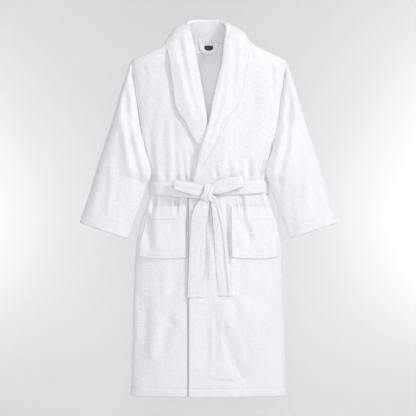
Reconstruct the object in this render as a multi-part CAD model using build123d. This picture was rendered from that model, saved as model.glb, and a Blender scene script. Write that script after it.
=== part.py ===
"""Shawl-collar bathrobe in cotton terry, closed and tied at the waist with a bow.

The robe hangs upright as on a shoulder hanger. +Z is up and the front faces -Y. The origin is on the
centre line at shoulder height, where a hanger's neck sits. "Left" and "right" are the wearer's, so
every left piece is at +X. All lengths are in millimetres.
"""

from build123d import *
import math
import os

# ---------------------------------------------------------------- driving dimensions
HEM_Z = -1131.0
WAIST_Z = -459.0
NECK_Z = 12.0
COLLAR_TOP_Z = 90.0

PANEL_T = 5.0  # one layer of terry, loops included
COLLAR_T = 8.0  # shawl collar, two layers
BAND_T = 3.0  # turned hems and facings
GAP = 0.5  # air between neighbouring pieces

# body of the robe: height, half width, half depth
BODY = [
    (HEM_Z, 255.0, 60.0),
    (-850.0, 243.0, 55.0),
    (-650.0, 236.0, 50.0),
    (-560.0, 219.0, 46.0),
    (-482.0, 190.0, 42.0),
    (-436.0, 190.0, 42.0),
    (-300.0, 222.0, 46.0),
    (-45.0, 252.0, 42.0),
    (NECK_Z, 139.0, 40.0),
]
# collar above the neck seam, its outer face
NECK = [
    (50.0, 104.0, 46.0),
    (78.0, 72.0, 42.0),
    (COLLAR_TOP_Z, 58.0, 38.0),
]
FLATNESS = 2.6  # exponent of the flattened oval that the body has in plan
OVAL_POINTS = 20

OVERLAP_X = -62.0  # edge of the upper front below the belt
UNDERLAP_X = 60.0  # edge of the lower front, hidden behind the upper one
FREE_EDGE_GAP = 7.5  # room beside the upper front's free edge, so that its corner can lift
FACING_W = 84.0
HEM_W = 25.0

SHOULDER = (256.5, -47.0)  # x, z of the sleeve's pivot at the shoulder tip
UNDERARM = (229.0, -290.0)
CUFF_OUTER = (414.0, -569.0)
CUFF_INNER = (275.0, -618.0)
# left sleeve: height, inner x, outer x, half depth
SLEEVE = [
    (-20.0, 216.0, 248.4, 22.0),
    (-290.0, 228.0, 329.8, 36.0),
    (-372.0, 213.0, 354.5, 38.0),
    (-447.0, 201.0, 377.2, 37.0),
    (-640.0, 284.5, 435.4, 31.0),
]
CUFF_HEM_W = 30.0
ARMHOLE_DEPTH = 36.0
ARMHOLE_TOP_Z = -62.0
ARMHOLE_BOTTOM_Z = -284.0

POCKET_MOUTH_Z = -514.0
POCKET_BOTTOM_Z = -685.0
POCKET_WALL = 4.0
POCKET_ROOM = 9.0  # depth of the pouch
POCKET_SEAM = 6.0
POCKET_BAND_W = 42.0
POCKET_BAND_T = 1.5
POCKET_BAND_GAP = 0.2

BELT_W = 44.0
BELT_T = 4.0
CARRIER_T = 2.2
CARRIER_W = 9.0
CARRIER_REACH = 31.0  # above and below the middle of the belt
BOW_Y = -58.5  # middle of the bow's loops
BOW_T = 18.0
BOW_SLOT = 10.0
BOW_RIGHT_X = -116.0
BOW_LEFT_X = 112.0
BOW_CLEAR_Z = (-300.0, -600.0)  # the slots run out above and below
TAIL_T = 6.0
TAIL_Y = -66.0  # middle of the hanging ends
KNOT_Y = (-75.0, -47.5)
KNOT_Z = (-511.0, -448.0)
KNOT_X = (-27.0, 21.0)
KNOT_ROUND = 9.0
TAIL_PIVOT_Z = -516.0

HANG_LOOP_Z = 17.0
HANG_LOOP_W = 63.0
HANG_LOOP_DROP = 39.0
HANG_LOOP_BAND = 12.0
HANG_LOOP_T = 2.4
HANG_LOOP_Y = 29.5
HANG_LOOP_R = 18.0  # corner radius of the loop's outer edge
HANG_LOOP_INNER_R = 12.0
TAPE_SIZE = (96.0, 1.2, 34.0)
TAPE_BEHIND_LOOP = 3.2
TAPE_MID_Z = -2.0
LABEL_SIZE = (30.0, 0.6, 20.0)
LABEL_BEHIND_LOOP = 2.0
LABEL_MID_Z = -1.0

CORNER_TOP = (OVERLAP_X, -900.0)  # hinge line of the hem corner that lifts
CORNER_END = (120.0, HEM_Z)

FAR = 400.0  # larger than anything here, for cutting


# ---------------------------------------------------------------- helpers
def oval(height, half_width, half_depth, x_mid=0.0):
    """Flattened oval in plan at one height."""
    points = []
    for i in range(OVAL_POINTS):
        angle = 2 * math.pi * i / OVAL_POINTS
        c, s = math.cos(angle), math.sin(angle)
        x = math.copysign(half_width * abs(c) ** (2 / FLATNESS), c)
        y = math.copysign(half_depth * abs(s) ** (2 / FLATNESS), s)
        points.append(Vector(x_mid + x, y, height))
    return make_face(Spline(*points, periodic=True))


def form(sections, offset):
    """Solid through the ovals, every one grown by offset."""
    return loft([oval(z, w + offset, d + offset) for z, w, d in sections], ruled=True)


def layer(sections, inside, outside):
    """Skin between two offsets of the same form."""
    return form(sections, outside) - form(sections, inside)


def prism(points, front=True):
    """Everything in front of, or behind, the outline given in x and z."""
    outline = Plane.XZ * make_face(Polyline(*[(x, z) for x, z in points], close=True))
    return extrude(outline, amount=FAR if front else -FAR)


def plate(points, y_mid, thickness):
    """Flat plate of the outline given in x and z."""
    outline = Plane.XZ.offset(-y_mid - thickness / 2) * make_face(
        Polyline(*[(x, z) for x, z in points], close=True)
    )
    return extrude(outline, amount=thickness)


def slab(z_low, z_high):
    """Everything between two heights."""
    return Pos(0, 0, (z_low + z_high) / 2) * Box(3 * FAR, FAR, z_high - z_low)


def solid(shape):
    """The largest solid of a cut, without slivers."""
    return max(shape.solids(), key=lambda s: s.volume)


# ---------------------------------------------------------------- body of the robe
def armholes():
    """The cuts where the sleeves open into the body."""
    height = ARMHOLE_TOP_Z - ARMHOLE_BOTTOM_Z
    middle = (ARMHOLE_TOP_Z + ARMHOLE_BOTTOM_Z) / 2
    side = Pos(300, 0, middle) * Box(200, ARMHOLE_DEPTH, height)
    return side + mirror(side, Plane.YZ)


def back_panel(skin):
    return solid(skin & Pos(0, FAR / 2 + GAP / 2, -500) * Box(3 * FAR, FAR, 1400))


LEFT_EDGE = [
    (121, 20),
    (103, -110),
    (84, -205),
    (38, -290),
    (2, -345),
    (-28, -400),
    (-46, -432),
    (OVERLAP_X, -500),
    (OVERLAP_X, HEM_Z - 5),
]
RIGHT_EDGE = [
    (-121, 20),
    (-104, -110),
    (-88, -205),
    (-45, -292),
    (-36, -330),
    (-38, -395),
    (-48, -432),
    (OVERLAP_X - FREE_EDGE_GAP, -500),
    (OVERLAP_X - FREE_EDGE_GAP, HEM_Z - 5),
]


def corner_outline(grow):
    """Triangle of the upper front's hem corner, its hinge edge moved out by grow."""
    along = Vector(CORNER_END[0] - CORNER_TOP[0], CORNER_END[1] - CORNER_TOP[1]).normalized()
    out = Vector(-along.Y, along.X) * grow
    start = (CORNER_TOP[0] + out.X - 40 * along.X, CORNER_TOP[1] + out.Y - 40 * along.Y)
    end = (CORNER_END[0] + out.X + 40 * along.X, CORNER_END[1] + out.Y + 40 * along.Y)
    return [start, end, (-FAR, HEM_Z - 60), (-FAR, start[1])]


def fronts(skin):
    front_half = skin & Pos(0, -FAR / 2 - GAP / 2, -500) * Box(3 * FAR, FAR, 1400)
    left_outline = LEFT_EDGE + [(FAR, HEM_Z - 5), (FAR, 20)]
    right_outline = RIGHT_EDGE + [(-FAR, HEM_Z - 5), (-FAR, 20)]
    left = front_half & prism(left_outline)
    nodes = {
        "right_front": solid(front_half & prism(right_outline)),
        "left_front": solid(left - prism(corner_outline(GAP))),
        "left_front_corner": solid(left & prism(corner_outline(-GAP))),
    }
    return nodes


def facings():
    """Strips behind the front edges."""
    behind = layer(BODY, -PANEL_T - GAP - BAND_T, -PANEL_T - GAP)
    left_strip = [
        (OVERLAP_X + 2, -500),
        (OVERLAP_X + FACING_W, -500),
        (OVERLAP_X + FACING_W, CORNER_TOP[1] + 20),
        (OVERLAP_X + 2, CORNER_TOP[1] + 20),
    ]
    lower_front = layer(BODY, -2 * PANEL_T - 4 * GAP - BAND_T, -PANEL_T - 3 * GAP - BAND_T)
    underlap = [
        (-110, HEM_Z + 3),
        (UNDERLAP_X, HEM_Z + 3),
        (UNDERLAP_X, -430),
        (2, -290),
        (-110, -290),
    ]
    return {
        "left_front_facing": solid(behind & prism(left_strip)),
        "right_front_underlap": solid(lower_front & prism(underlap)),
    }


def hems():
    """The turned hem along the bottom edge, inside the panels."""
    ring = layer(BODY, -PANEL_T - GAP - BAND_T, -PANEL_T - GAP) & slab(HEM_Z, HEM_Z + HEM_W)
    back = ring & Pos(0, FAR / 2 + 1, HEM_Z) * Box(3 * FAR, FAR, 200)
    front = ring & Pos(0, -FAR / 2 - 1, HEM_Z) * Box(3 * FAR, FAR, 200)
    corner_end = CORNER_END[0] - 34
    spans = {
        "right_front_hem": (-FAR, -112),
        "left_front_corner_hem": (OVERLAP_X + 2, corner_end),
        "left_front_hem": (corner_end + 40, FAR),
    }
    nodes = {"back_hem": solid(back)}
    for name, (x_low, x_high) in spans.items():
        span = Pos((x_low + x_high) / 2, 0, HEM_Z) * Box(x_high - x_low, FAR, 200)
        nodes[name] = solid(front & span)
    return nodes


# ---------------------------------------------------------------- collar
LEFT_LAPEL = [
    (44, 100),
    (56, 36),
    (52, 0),
    (43, -78),
    (27, -159),
    (4, -254),
    (-14, -282),
    (-24, -327),
    (-37, -370),
    (-46, -428),
    (-36, -413),
    (-17, -386),
    (16, -339),
    (30, -294),
    (48, -249),
    (77, -207),
    (101, -175),
    (114, -110),
    (124, -52),
    (132, 0),
    (150, 20),
    (150, 100),
]
RIGHT_LAPEL = [
    (-44, 100),
    (-45, 36),
    (-38, 8),
    (-28, -45),
    (-18, -143),
    (-9, -207),
    (-2, -254),
    (-16, -282),
    (-27, -325),
    (-29, -334),
    (-54, -292),
    (-77, -246),
    (-99, -214),
    (-116, -126),
    (-130, -29),
    (-138, 3),
    (-150, 20),
    (-150, 100),
]
COLLAR_BACK = [(-150, 100), (-150, NECK_Z), (-122, -14), (122, -14), (150, NECK_Z), (150, 100)]


def collar():
    """Shawl collar: two lapels and the part that stands up behind the neck."""
    above = [(z, w - GAP - COLLAR_T, d - GAP - COLLAR_T) for z, w, d in NECK]
    skin = layer(BODY + above, GAP, GAP + COLLAR_T)
    front_half = skin & Pos(0, -FAR / 2 - GAP / 2, -100) * Box(3 * FAR, FAR, 800)
    back_half = skin & Pos(0, FAR / 2 + GAP / 2, -100) * Box(3 * FAR, FAR, 800)
    return {
        "left_lapel": solid(front_half & prism(LEFT_LAPEL)),
        "right_lapel": solid(front_half & prism(RIGHT_LAPEL)),
        "collar_back": solid(back_half & prism(COLLAR_BACK, front=False)),
    }


def neck_trim():
    """Tape over the neck seam, the blank label and the loop that goes over a hook."""
    tape = Pos(0, HANG_LOOP_Y + TAPE_BEHIND_LOOP, TAPE_MID_Z) * Box(*TAPE_SIZE)
    label = Pos(0, HANG_LOOP_Y + LABEL_BEHIND_LOOP, LABEL_MID_Z) * Box(*LABEL_SIZE)
    top = HANG_LOOP_Z
    curve = HANG_LOOP_DROP * 0.72
    outer = Plane.XZ.offset(-HANG_LOOP_Y - HANG_LOOP_T / 2) * (
        Pos(0, top - HANG_LOOP_DROP / 2) * RectangleRounded(HANG_LOOP_W, HANG_LOOP_DROP, HANG_LOOP_R)
        + Pos(0, top - curve / 2 + 2) * Rectangle(HANG_LOOP_W, HANG_LOOP_DROP - curve + 6)
    )
    inner = Plane.XZ.offset(-HANG_LOOP_Y - HANG_LOOP_T / 2) * (
        Pos(0, top + HANG_LOOP_BAND - HANG_LOOP_DROP / 2)
        * RectangleRounded(
            HANG_LOOP_W - 2 * HANG_LOOP_BAND, HANG_LOOP_DROP + HANG_LOOP_BAND, HANG_LOOP_INNER_R
        )
    )
    loop = extrude(outer, amount=HANG_LOOP_T) - extrude(inner, amount=HANG_LOOP_T)
    loop = loop & slab(top - FAR / 2, top)
    return {"neck_tape": solid(tape), "neck_label": solid(label), "hang_loop": solid(loop)}


# ---------------------------------------------------------------- sleeves
def sleeve_form(offset):
    sections = []
    for z, x_in, x_out, half_depth in SLEEVE:
        half_width = (x_out - x_in) / 2
        x_mid = (x_out + x_in) / 2
        sections.append(oval(z, half_width + offset, half_depth + offset, x_mid))
    return loft(sections, ruled=True)


def through(points):
    """Everything inside the outline given in x and z, front to back."""
    outline = Plane.XZ * make_face(Polyline(*[(x, z) for x, z in points], close=True))
    return extrude(outline, amount=FAR, both=True)


def sleeves():
    """Sleeves cut off at the armhole and the cuff, and the turned hem inside each cuff."""
    cuff_x, cuff_z = CUFF_OUTER[0] - CUFF_INNER[0], CUFF_OUTER[1] - CUFF_INNER[1]
    up_x, up_z = -cuff_z, cuff_x
    share = CUFF_HEM_W / math.hypot(cuff_x, cuff_z)
    cuff_low = (CUFF_INNER[0] - cuff_x, CUFF_INNER[1] - cuff_z)
    cuff_high = (CUFF_OUTER[0] + cuff_x, CUFF_OUTER[1] + cuff_z)
    span = [SHOULDER, UNDERARM, (150, -330), (150, -560), cuff_low, cuff_high, (SHOULDER[0], 100)]
    hem_span = [
        cuff_low,
        cuff_high,
        (cuff_high[0] + share * up_x, cuff_high[1] + share * up_z),
        (cuff_low[0] + share * up_x, cuff_low[1] + share * up_z),
    ]
    tube = sleeve_form(0) - sleeve_form(-PANEL_T)
    lining = sleeve_form(-PANEL_T - GAP) - sleeve_form(-PANEL_T - GAP - BAND_T)
    left = solid(tube & through(span))
    left_hem = solid(lining & through(hem_span))
    return {
        "left_sleeve": left,
        "right_sleeve": mirror(left, Plane.YZ),
        "left_cuff_hem": left_hem,
        "right_cuff_hem": mirror(left_hem, Plane.YZ),
    }


# ---------------------------------------------------------------- pockets
POCKET_OUTLINE = [
    (72, POCKET_MOUTH_Z),
    (74, -600),
    (76, POCKET_BOTTOM_Z + 4),
    (150, POCKET_BOTTOM_Z - 3),
    (226, POCKET_BOTTOM_Z + 4),
    (222, -640),
    (206, -570),
    (194, POCKET_MOUTH_Z),
]


def pockets():
    """Patch pockets: a pouch sewn on at its sides and bottom, with a hem band across its mouth."""
    room = [
        (72 + POCKET_SEAM, POCKET_MOUTH_Z + 5),
        (76 + POCKET_SEAM, POCKET_BOTTOM_Z + 4 + POCKET_SEAM),
        (150, POCKET_BOTTOM_Z - 3 + POCKET_SEAM),
        (226 - POCKET_SEAM, POCKET_BOTTOM_Z + 4 + POCKET_SEAM),
        (222 - POCKET_SEAM, -640),
        (206 - POCKET_SEAM, -570),
        (194 - POCKET_SEAM, POCKET_MOUTH_Z + 5),
    ]
    outside = GAP + POCKET_ROOM + POCKET_WALL
    whole = layer(BODY, GAP, outside) & prism(POCKET_OUTLINE)
    pouch = layer(BODY, 0, GAP + POCKET_ROOM) & prism(room)
    left = solid(whole - pouch)
    band_top = slab(POCKET_MOUTH_Z - POCKET_BAND_W, POCKET_MOUTH_Z)
    on_top = outside + POCKET_BAND_GAP
    band = layer(BODY, on_top, on_top + POCKET_BAND_T) & prism(POCKET_OUTLINE)
    left_band = solid(band & band_top)
    return {
        "left_pocket": left,
        "right_pocket": mirror(left, Plane.YZ),
        "left_pocket_band": left_band,
        "right_pocket_band": mirror(left_band, Plane.YZ),
    }


# ---------------------------------------------------------------- belt
def carrier():
    """Belt carrier on the left side seam: a narrow strap bowed out over the belt."""
    inner = BODY[4][1] + GAP + BELT_T + 0.7
    root = inner - 1.8
    top, bottom = WAIST_Z + CARRIER_REACH, WAIST_Z - CARRIER_REACH
    outline = [
        (root, top),
        (inner + CARRIER_T, top - 5),
        (inner + CARRIER_T, bottom + 5),
        (root, bottom),
        (root, bottom + CARRIER_T + 1),
        (inner, bottom + 7),
        (inner, top - 7),
        (root, top - CARRIER_T - 1),
    ]
    return solid(plate(outline, 0, CARRIER_W))


def bow_loop(outline, slot):
    """Flattened loop of belt, open at its top and bottom edges."""
    whole = plate(outline, BOW_Y, BOW_T)
    return solid(whole - plate(slot, BOW_Y, BOW_SLOT))


def belt():
    band = layer(BODY, GAP, GAP + BELT_T) & slab(WAIST_Z - BELT_W / 2, WAIST_Z + BELT_W / 2)
    knot_x = KNOT_X[1] - KNOT_X[0]
    knot_y = KNOT_Y[1] - KNOT_Y[0]
    knot_z = KNOT_Z[1] - KNOT_Z[0]
    knot = Box(knot_x, knot_y, knot_z)
    knot = fillet(knot.edges(), KNOT_ROUND)
    knot = Pos(sum(KNOT_X) / 2, sum(KNOT_Y) / 2, sum(KNOT_Z) / 2) * knot
    high, low = BOW_CLEAR_Z
    right_inside, left_inside = BOW_RIGHT_X + BELT_T + 1, BOW_LEFT_X - BELT_T - 1
    right_loop = bow_loop(
        [(-28, -455), (BOW_RIGHT_X, -437), (BOW_RIGHT_X - 1, -467), (-28, -494)],
        [(0, high), (right_inside, high), (right_inside - 1, low), (0, low)],
    )
    left_loop = bow_loop(
        [(22, -455), (69, -424), (BOW_LEFT_X, -424), (BOW_LEFT_X, -455), (22, -486)],
        [(0, high), (left_inside, high), (left_inside, low), (0, low)],
    )
    right_tail = plate(
        [(-56, TAIL_PIVOT_Z), (-14, TAIL_PIVOT_Z), (-20, -812), (-67, -816)], TAIL_Y, TAIL_T
    )
    left_tail = plate(
        [(-8, TAIL_PIVOT_Z), (32, TAIL_PIVOT_Z), (76, -809), (32, -812)], TAIL_Y, TAIL_T
    )
    left_carrier = carrier()
    return {
        "belt_band": solid(band),
        "belt_knot": solid(knot),
        "right_bow_loop": right_loop,
        "left_bow_loop": left_loop,
        "right_belt_tail": solid(right_tail),
        "left_belt_tail": solid(left_tail),
        "left_belt_carrier": left_carrier,
        "right_belt_carrier": mirror(left_carrier, Plane.YZ),
    }


# ---------------------------------------------------------------- the robe
def robe():
    skin = layer(BODY, -PANEL_T, 0) - armholes()
    nodes = {"back_panel": back_panel(skin)}
    nodes.update(fronts(skin))
    nodes.update(facings())
    nodes.update(hems())
    nodes.update(collar())
    nodes.update(neck_trim())
    nodes.update(sleeves())
    nodes.update(pockets())
    nodes.update(belt())
    return nodes


os.makedirs("parts", exist_ok=True)
for node_name, shape in robe().items():
    shape.label = node_name
    export_step(shape, f"parts/{node_name}.step")
    print(node_name, round(shape.volume / 1000, 1), "cm3")
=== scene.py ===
import bmesh
import bpy
import math
import numpy as np
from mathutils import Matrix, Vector


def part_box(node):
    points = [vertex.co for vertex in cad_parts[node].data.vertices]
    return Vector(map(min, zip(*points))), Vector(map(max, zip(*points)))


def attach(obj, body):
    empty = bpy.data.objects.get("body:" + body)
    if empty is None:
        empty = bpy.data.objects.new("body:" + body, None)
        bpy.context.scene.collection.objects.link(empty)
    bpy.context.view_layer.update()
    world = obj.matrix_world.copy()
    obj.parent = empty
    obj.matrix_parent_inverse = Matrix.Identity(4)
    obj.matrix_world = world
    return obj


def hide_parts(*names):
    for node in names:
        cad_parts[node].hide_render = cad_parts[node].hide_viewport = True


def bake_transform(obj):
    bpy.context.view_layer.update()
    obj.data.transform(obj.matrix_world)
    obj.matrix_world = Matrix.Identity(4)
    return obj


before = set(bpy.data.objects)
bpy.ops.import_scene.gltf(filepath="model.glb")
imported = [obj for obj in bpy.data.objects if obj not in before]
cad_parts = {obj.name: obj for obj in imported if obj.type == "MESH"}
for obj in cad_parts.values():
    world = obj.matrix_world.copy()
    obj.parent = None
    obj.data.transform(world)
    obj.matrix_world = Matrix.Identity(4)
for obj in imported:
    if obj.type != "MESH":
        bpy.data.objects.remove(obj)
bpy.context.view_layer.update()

MM = 0.001
TINY = 1e-9  # keeps a division by a length from failing

# ---- the robe's form, in millimetres
HEM_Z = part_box("back_panel")[0].z / MM
NECK_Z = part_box("back_panel")[1].z / MM
WAIST_Z = -459.0
# height, half width, half depth of the body
BODY = [
    (HEM_Z - 40, 256.5, 60.0),
    (HEM_Z, 255.0, 60.0),
    (-850.0, 244.0, 55.0),
    (-700.0, 240.0, 51.5),
    (-640.0, 235.0, 50.0),
    (-560.0, 218.0, 46.0),
    (-505.0, 198.0, 42.5),
    (-482.0, 190.0, 41.5),
    (-436.0, 190.0, 41.5),
    (-300.0, 222.0, 46.0),
    (-150.0, 240.0, 45.0),
    (-62.0, 252.0, 42.0),
    (-46.0, 255.0, 41.5),
    (NECK_Z, 139.0, 40.0),
    (NECK_Z + 40, 60.0, 38.0),
]
BLUR = 6  # how far, in millimetres of height, the table's corners are rounded
FLATNESS = 2.6  # power of the body's rounded section; 2 would be an ellipse
OUTLINE_POINTS = 721
TANGENT_STEP = 0.8
CLOTH_T = 4.4
OVERLAP_X = -62.0
SEAM_FADE = 13.0  # folds die out this near to the side seams
CORNER_TOP = (OVERLAP_X, -900.0)
CORNER_END = (120.0, HEM_Z)


def smooth(t):
    t = np.clip(t, 0.0, 1.0)
    return t * t * (3 - 2 * t)


def ramp(value, start, end):
    """0 at start, 1 at end, smooth between; start may be above end."""
    return smooth((value - start) / (end - start))


def bell(value, middle, width):
    """1 at middle, falling off smoothly on both sides."""
    return np.exp(-(((value - middle) / width) ** 2))


def unit(vectors):
    return vectors / (np.linalg.norm(vectors, axis=-1, keepdims=True) + TINY)


def run_along(points):
    """Length along a line from its first point to each point."""
    return np.concatenate([[0], np.cumsum(np.linalg.norm(np.diff(points, axis=0), axis=1))])


def profile(column):
    """Smoothed table of one column of BODY by height."""
    knots = sorted(BODY)
    z = np.arange(knots[0][0], knots[-1][0] + 1.0, 1.0)
    value = np.interp(z, [k[0] for k in knots], [k[column] for k in knots])
    kernel = np.exp(-0.5 * (np.arange(-3 * BLUR, 3 * BLUR + 1) / BLUR) ** 2)
    padded = np.pad(value, 3 * BLUR, mode="reflect", reflect_type="odd")
    return z, np.convolve(padded, kernel / kernel.sum(), mode="valid")


WIDTH = profile(1)
DEPTH = profile(2)


def half_width(z):
    return np.interp(z, *WIDTH)


def half_depth(z):
    return np.interp(z, *DEPTH)


CELLS = 96
FIRST_CELL = (37.3, 61.7)


def lattice(x, z, size_x, size_z, seed):
    """Smooth random field between -1 and 1, with cells of the given size."""
    table = np.random.default_rng(seed).uniform(-1, 1, (CELLS, CELLS))
    u, v = np.asarray(x) / size_x + FIRST_CELL[0], np.asarray(z) / size_z + FIRST_CELL[1]
    iu, iv = np.floor(u).astype(int), np.floor(v).astype(int)
    fu, fv = smooth(u - iu), smooth(v - iv)
    iu, iv, next_u, next_v = iu % CELLS, iv % CELLS, (iu + 1) % CELLS, (iv + 1) % CELLS
    low = table[iu, iv] * (1 - fu) + table[next_u, iv] * fu
    high = table[iu, next_v] * (1 - fu) + table[next_u, next_v] * fu
    return low * (1 - fv) + high * fv


def along(x, z, path):
    """Distance to a path, positive on its left; length along it to there; its whole length."""
    best = np.full(np.shape(x), 1e9)
    side = np.zeros(np.shape(x))
    run = np.zeros(np.shape(x))
    total = 0.0
    for (x0, z0), (x1, z1) in zip(path[:-1], path[1:]):
        dx, dz = x1 - x0, z1 - z0
        length = math.hypot(dx, dz)
        t = np.clip(((x - x0) * dx + (z - z0) * dz) / length**2, 0, 1)
        px, pz = x - (x0 + t * dx), z - (z0 + t * dz)
        dist = np.hypot(px, pz)
        near = dist < best
        best = np.where(near, dist, best)
        side = np.where(near, np.sign(dx * pz - dz * px), side)
        run = np.where(near, total + t * length, run)
        total += length
    return best * side, run, total


def faded(shape, run, total, fade):
    """Let a shape along a path fade in and out over the two lengths in fade; 0 is no fading."""
    if fade[0]:
        shape = shape * smooth(run / fade[0])
    if fade[1]:
        shape = shape * smooth((total - run) / fade[1])
    return shape


RIDGE_AT = 1.7  # a fold's ridges stand this many widths beside its valley
PLEAT_DROP = 2.2  # width of a pleat's sharp side


def fold(x, z, path, width, depth, left=0.45, right=0.45, fade=(60, 60)):
    """A valley along a path with a ridge on either side."""
    dist, run, total = along(x, z, path)
    q = dist / width
    shape = -bell(q, 0, 1) + left * bell(q, RIDGE_AT, 1) + right * bell(q, -RIDGE_AT, 1)
    return faded(depth * shape, run, total, fade)


def pleat(x, z, path, drop, reach, fade=(60, 60)):
    """A crease that drops sharply on the right of its path and rises slowly on the left."""
    dist, run, total = along(x, z, path)
    shape = np.where(dist > 0, np.exp(-np.abs(dist) / reach), np.exp(-np.abs(dist) / PLEAT_DROP))
    return faded(-drop * shape, run, total, fade)


def sum_of(kind, x, z, table):
    """All the folds or pleats of a table. A row is a path, the shape's numbers and the fading."""
    f = np.zeros(np.shape(x))
    for path, *shape, fade in table:
        f += kind(x, z, path, *shape, fade=fade)
    return f


def oval(z, sign):
    """Points of the front (sign -1) or back (+1) of the body's section, from +X to -X."""
    a = np.linspace(0, math.pi, OUTLINE_POINTS)
    c, s = np.cos(a), np.sin(a)
    x = half_width(z) * np.sign(c) * np.abs(c) ** (2 / FLATNESS)
    return x, sign * half_depth(z) * np.abs(s) ** (2 / FLATNESS)


def section(z, marks, counts, sign):
    """Points of a section from +X to -X, evenly spaced between the x marks, and their normals."""
    x, y = oval(z, sign)
    run = run_along(np.stack([x, y], axis=1))
    stops = np.interp(-np.asarray(marks, float), -x, run)
    parts = [np.linspace(a, b, n, endpoint=False) for a, b, n in zip(stops, stops[1:], counts)]
    places = np.concatenate(parts + [stops[-1:]])

    def at(place):
        return np.array([np.interp(place, run, x), np.interp(place, run, y)])

    tx, ty = at(places + TANGENT_STEP) - at(places - TANGENT_STEP)
    norm = np.hypot(tx, ty) + TINY
    return (*at(places), sign * ty / norm, -sign * tx / norm)


def front_y(x, z):
    """Front surface of the smooth body, before folds."""
    q = np.clip(np.abs(x) / half_width(z), 0, 0.9995)
    return -half_depth(z) * (1 - q**FLATNESS) ** (1 / FLATNESS)


# ---- folds
# A row: path (x, z), width, depth, height of the left and right ridge where it differs from the
# usual, lengths of fading at the start and the end.
FRONT_FOLDS = [
    # wearer's right, above the belt
    ([(-212, -50), (-207, -120), (-196, -200)], 12, 3.0, (30, 90)),
    ([(-160, -70), (-172, -160), (-186, -260), (-184, -340)], 14, 2.6, (80, 60)),
    ([(-197, -250), (-186, -340), (-175, -436)], 9, 6.5, 0.55, 0.35, (90, 0)),
    ([(-150, -200), (-146, -320), (-141, -436)], 12, 3.4, (110, 0)),
    ([(-112, -215), (-108, -330), (-106, -436)], 10, 4.6, 0.35, 0.5, (70, 0)),
    ([(-92, -290), (-84, -370), (-76, -436)], 8, 3.2, (60, 0)),
    ([(-62, -330), (-55, -390), (-52, -440)], 8, 3.5, 0.2, 0.5, (40, 0)),
    ([(-238, -150), (-224, -290), (-213, -343), (-197, -404), (-188, -436)],
     9, 5.5, 0.0, 0.4, (80, 0)),
    ([(-134, -40), (-121, -126), (-104, -212), (-83, -248), (-60, -290)],
     6, 2.6, 0.0, 0.3, (40, 30)),
    # wearer's left, above the belt
    ([(203, -55), (207, -120), (204, -190)], 9, 2.6, (30, 60)),
    ([(150, -90), (146, -200), (140, -300)], 20, 2.4, (80, 80)),
    ([(196, -300), (176, -370), (160, -436)], 8, 5.5, 0.5, 0.3, (80, 0)),
    ([(132, -330), (130, -436)], 9, 2.8, (80, 0)),
    ([(62, -330), (66, -436)], 10, 2.4, (80, 0)),
    ([(20, -370), (24, -436)], 8, 2.0, (50, 0)),
    # below the belt
    ([(-176, -480), (-178, -520), (-184, -560)], 7, 4.5, (0, 50)),
    ([(-104, -480), (-103, -512), (-104, -560)], 7, 4.2, (0, 50)),
    ([(108, -480), (109, -520), (112, -575)], 7, 5.5, (0, 60)),
    ([(165, -480), (172, -515), (180, -560)], 7, 3.6, (0, 50)),
    ([(52, -500), (58, -600), (64, -740)], 8, 3.2, (20, 120)),
    ([(-10, -600), (-11, -700), (-12, -800)], 10, 2.2, (60, 60)),
    ([(-200, -520), (-196, -600), (-186, -690)], 16, 3.6, (40, 60)),
    ([(100, -545), (118, -590), (138, -655)], 13, 4.2, 0.3, 0.4, (40, 40)),
    # skirt
    ([(80, -800), (84, -860), (94, -930)], 18, 3.4, (50, 60)),
    ([(49, -890), (60, -941), (74, -982), (88, -1031), (110, -1062), (130, -1080)],
     17, 2.5, 0.1, 0.4, (50, 40)),
    ([(-136, -840), (-128, -900), (-148, -965), (-162, -1030)], 20, 3.0, (60, 60)),
    ([(24, -860), (26, -950), (24, -1040)], 9, 1.8, (60, 60)),
    ([(-100, -700), (-112, -780), (-118, -840)], 18, 2.2, (60, 60)),
    ([(190, -760), (196, -900), (204, -1040)], 26, 3.0, (120, 100)),
    ([(-205, -760), (-214, -900), (-222, -1060)], 24, 3.0, (120, 100)),
    ([(-10, -1076), (40, -1080), (92, -1084)], 6, 1.4, (30, 30)),
]
# a row: path, drop, reach of the slow side, lengths of fading
FRONT_PLEATS = [
    ([(112, -175), (103, -250), (99, -330), (102, -436)], 6.0, 22, (80, 0)),
    ([(46, -870), (53, -941), (65, -982), (78, -1031), (101, -1066), (124, -1086)],
     6.0, 15, (70, 24)),
]
FRONT_STRENGTH = 2.0
BACK_FOLDS = [
    ([(-150, -60), (-130, -160), (-124, -260)], 20, 3.0, (80, 80)),
    ([(160, -60), (140, -170), (128, -270)], 20, 3.0, (80, 80)),
    ([(-60, -720), (-84, -900), (-96, -1080)], 26, 4.5, (120, 60)),
    ([(76, -700), (92, -900), (120, -1100)], 28, 4.5, (120, 40)),
    ([(10, -640), (14, -900), (8, -1110)], 30, 2.6, (120, 60)),
]
for i, x0 in enumerate((-165, -118, -74, -30, 22, 66, 110, 158)):  # gathers at the belt
    lean = (-1) ** i * 6
    top, low = -300 + 24 * math.sin(2.3 * i), -640 - 40 * math.cos(1.7 * i)
    BACK_FOLDS.append(([(x0 * 1.06 + lean, top), (x0, -436)], 11, 4.2, (90, 0)))
    BACK_FOLDS.append(([(x0 + 4, -482), (x0 * 1.1 - lean, low)], 11, 4.0, (0, 110)))
# height and cell size of each layer of unevenness
RUMPLE = [(1.9, 46, 150), (1.25, 22, 60), (0.45, 13, 20), (0.22, 6.5, 8)]
RUMPLE_SEED = 101


def flat_under_belt(z):
    return 1 - 0.92 * np.exp(-(((z - WAIST_Z) / 30.0) ** 4))


def front_folds(x, z):
    f = sum_of(fold, x, z, FRONT_FOLDS) + sum_of(pleat, x, z, FRONT_PLEATS)
    return FRONT_STRENGTH * f * flat_under_belt(z)


def back_folds(x, z):
    return sum_of(fold, x, z, BACK_FOLDS) * flat_under_belt(z)


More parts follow.
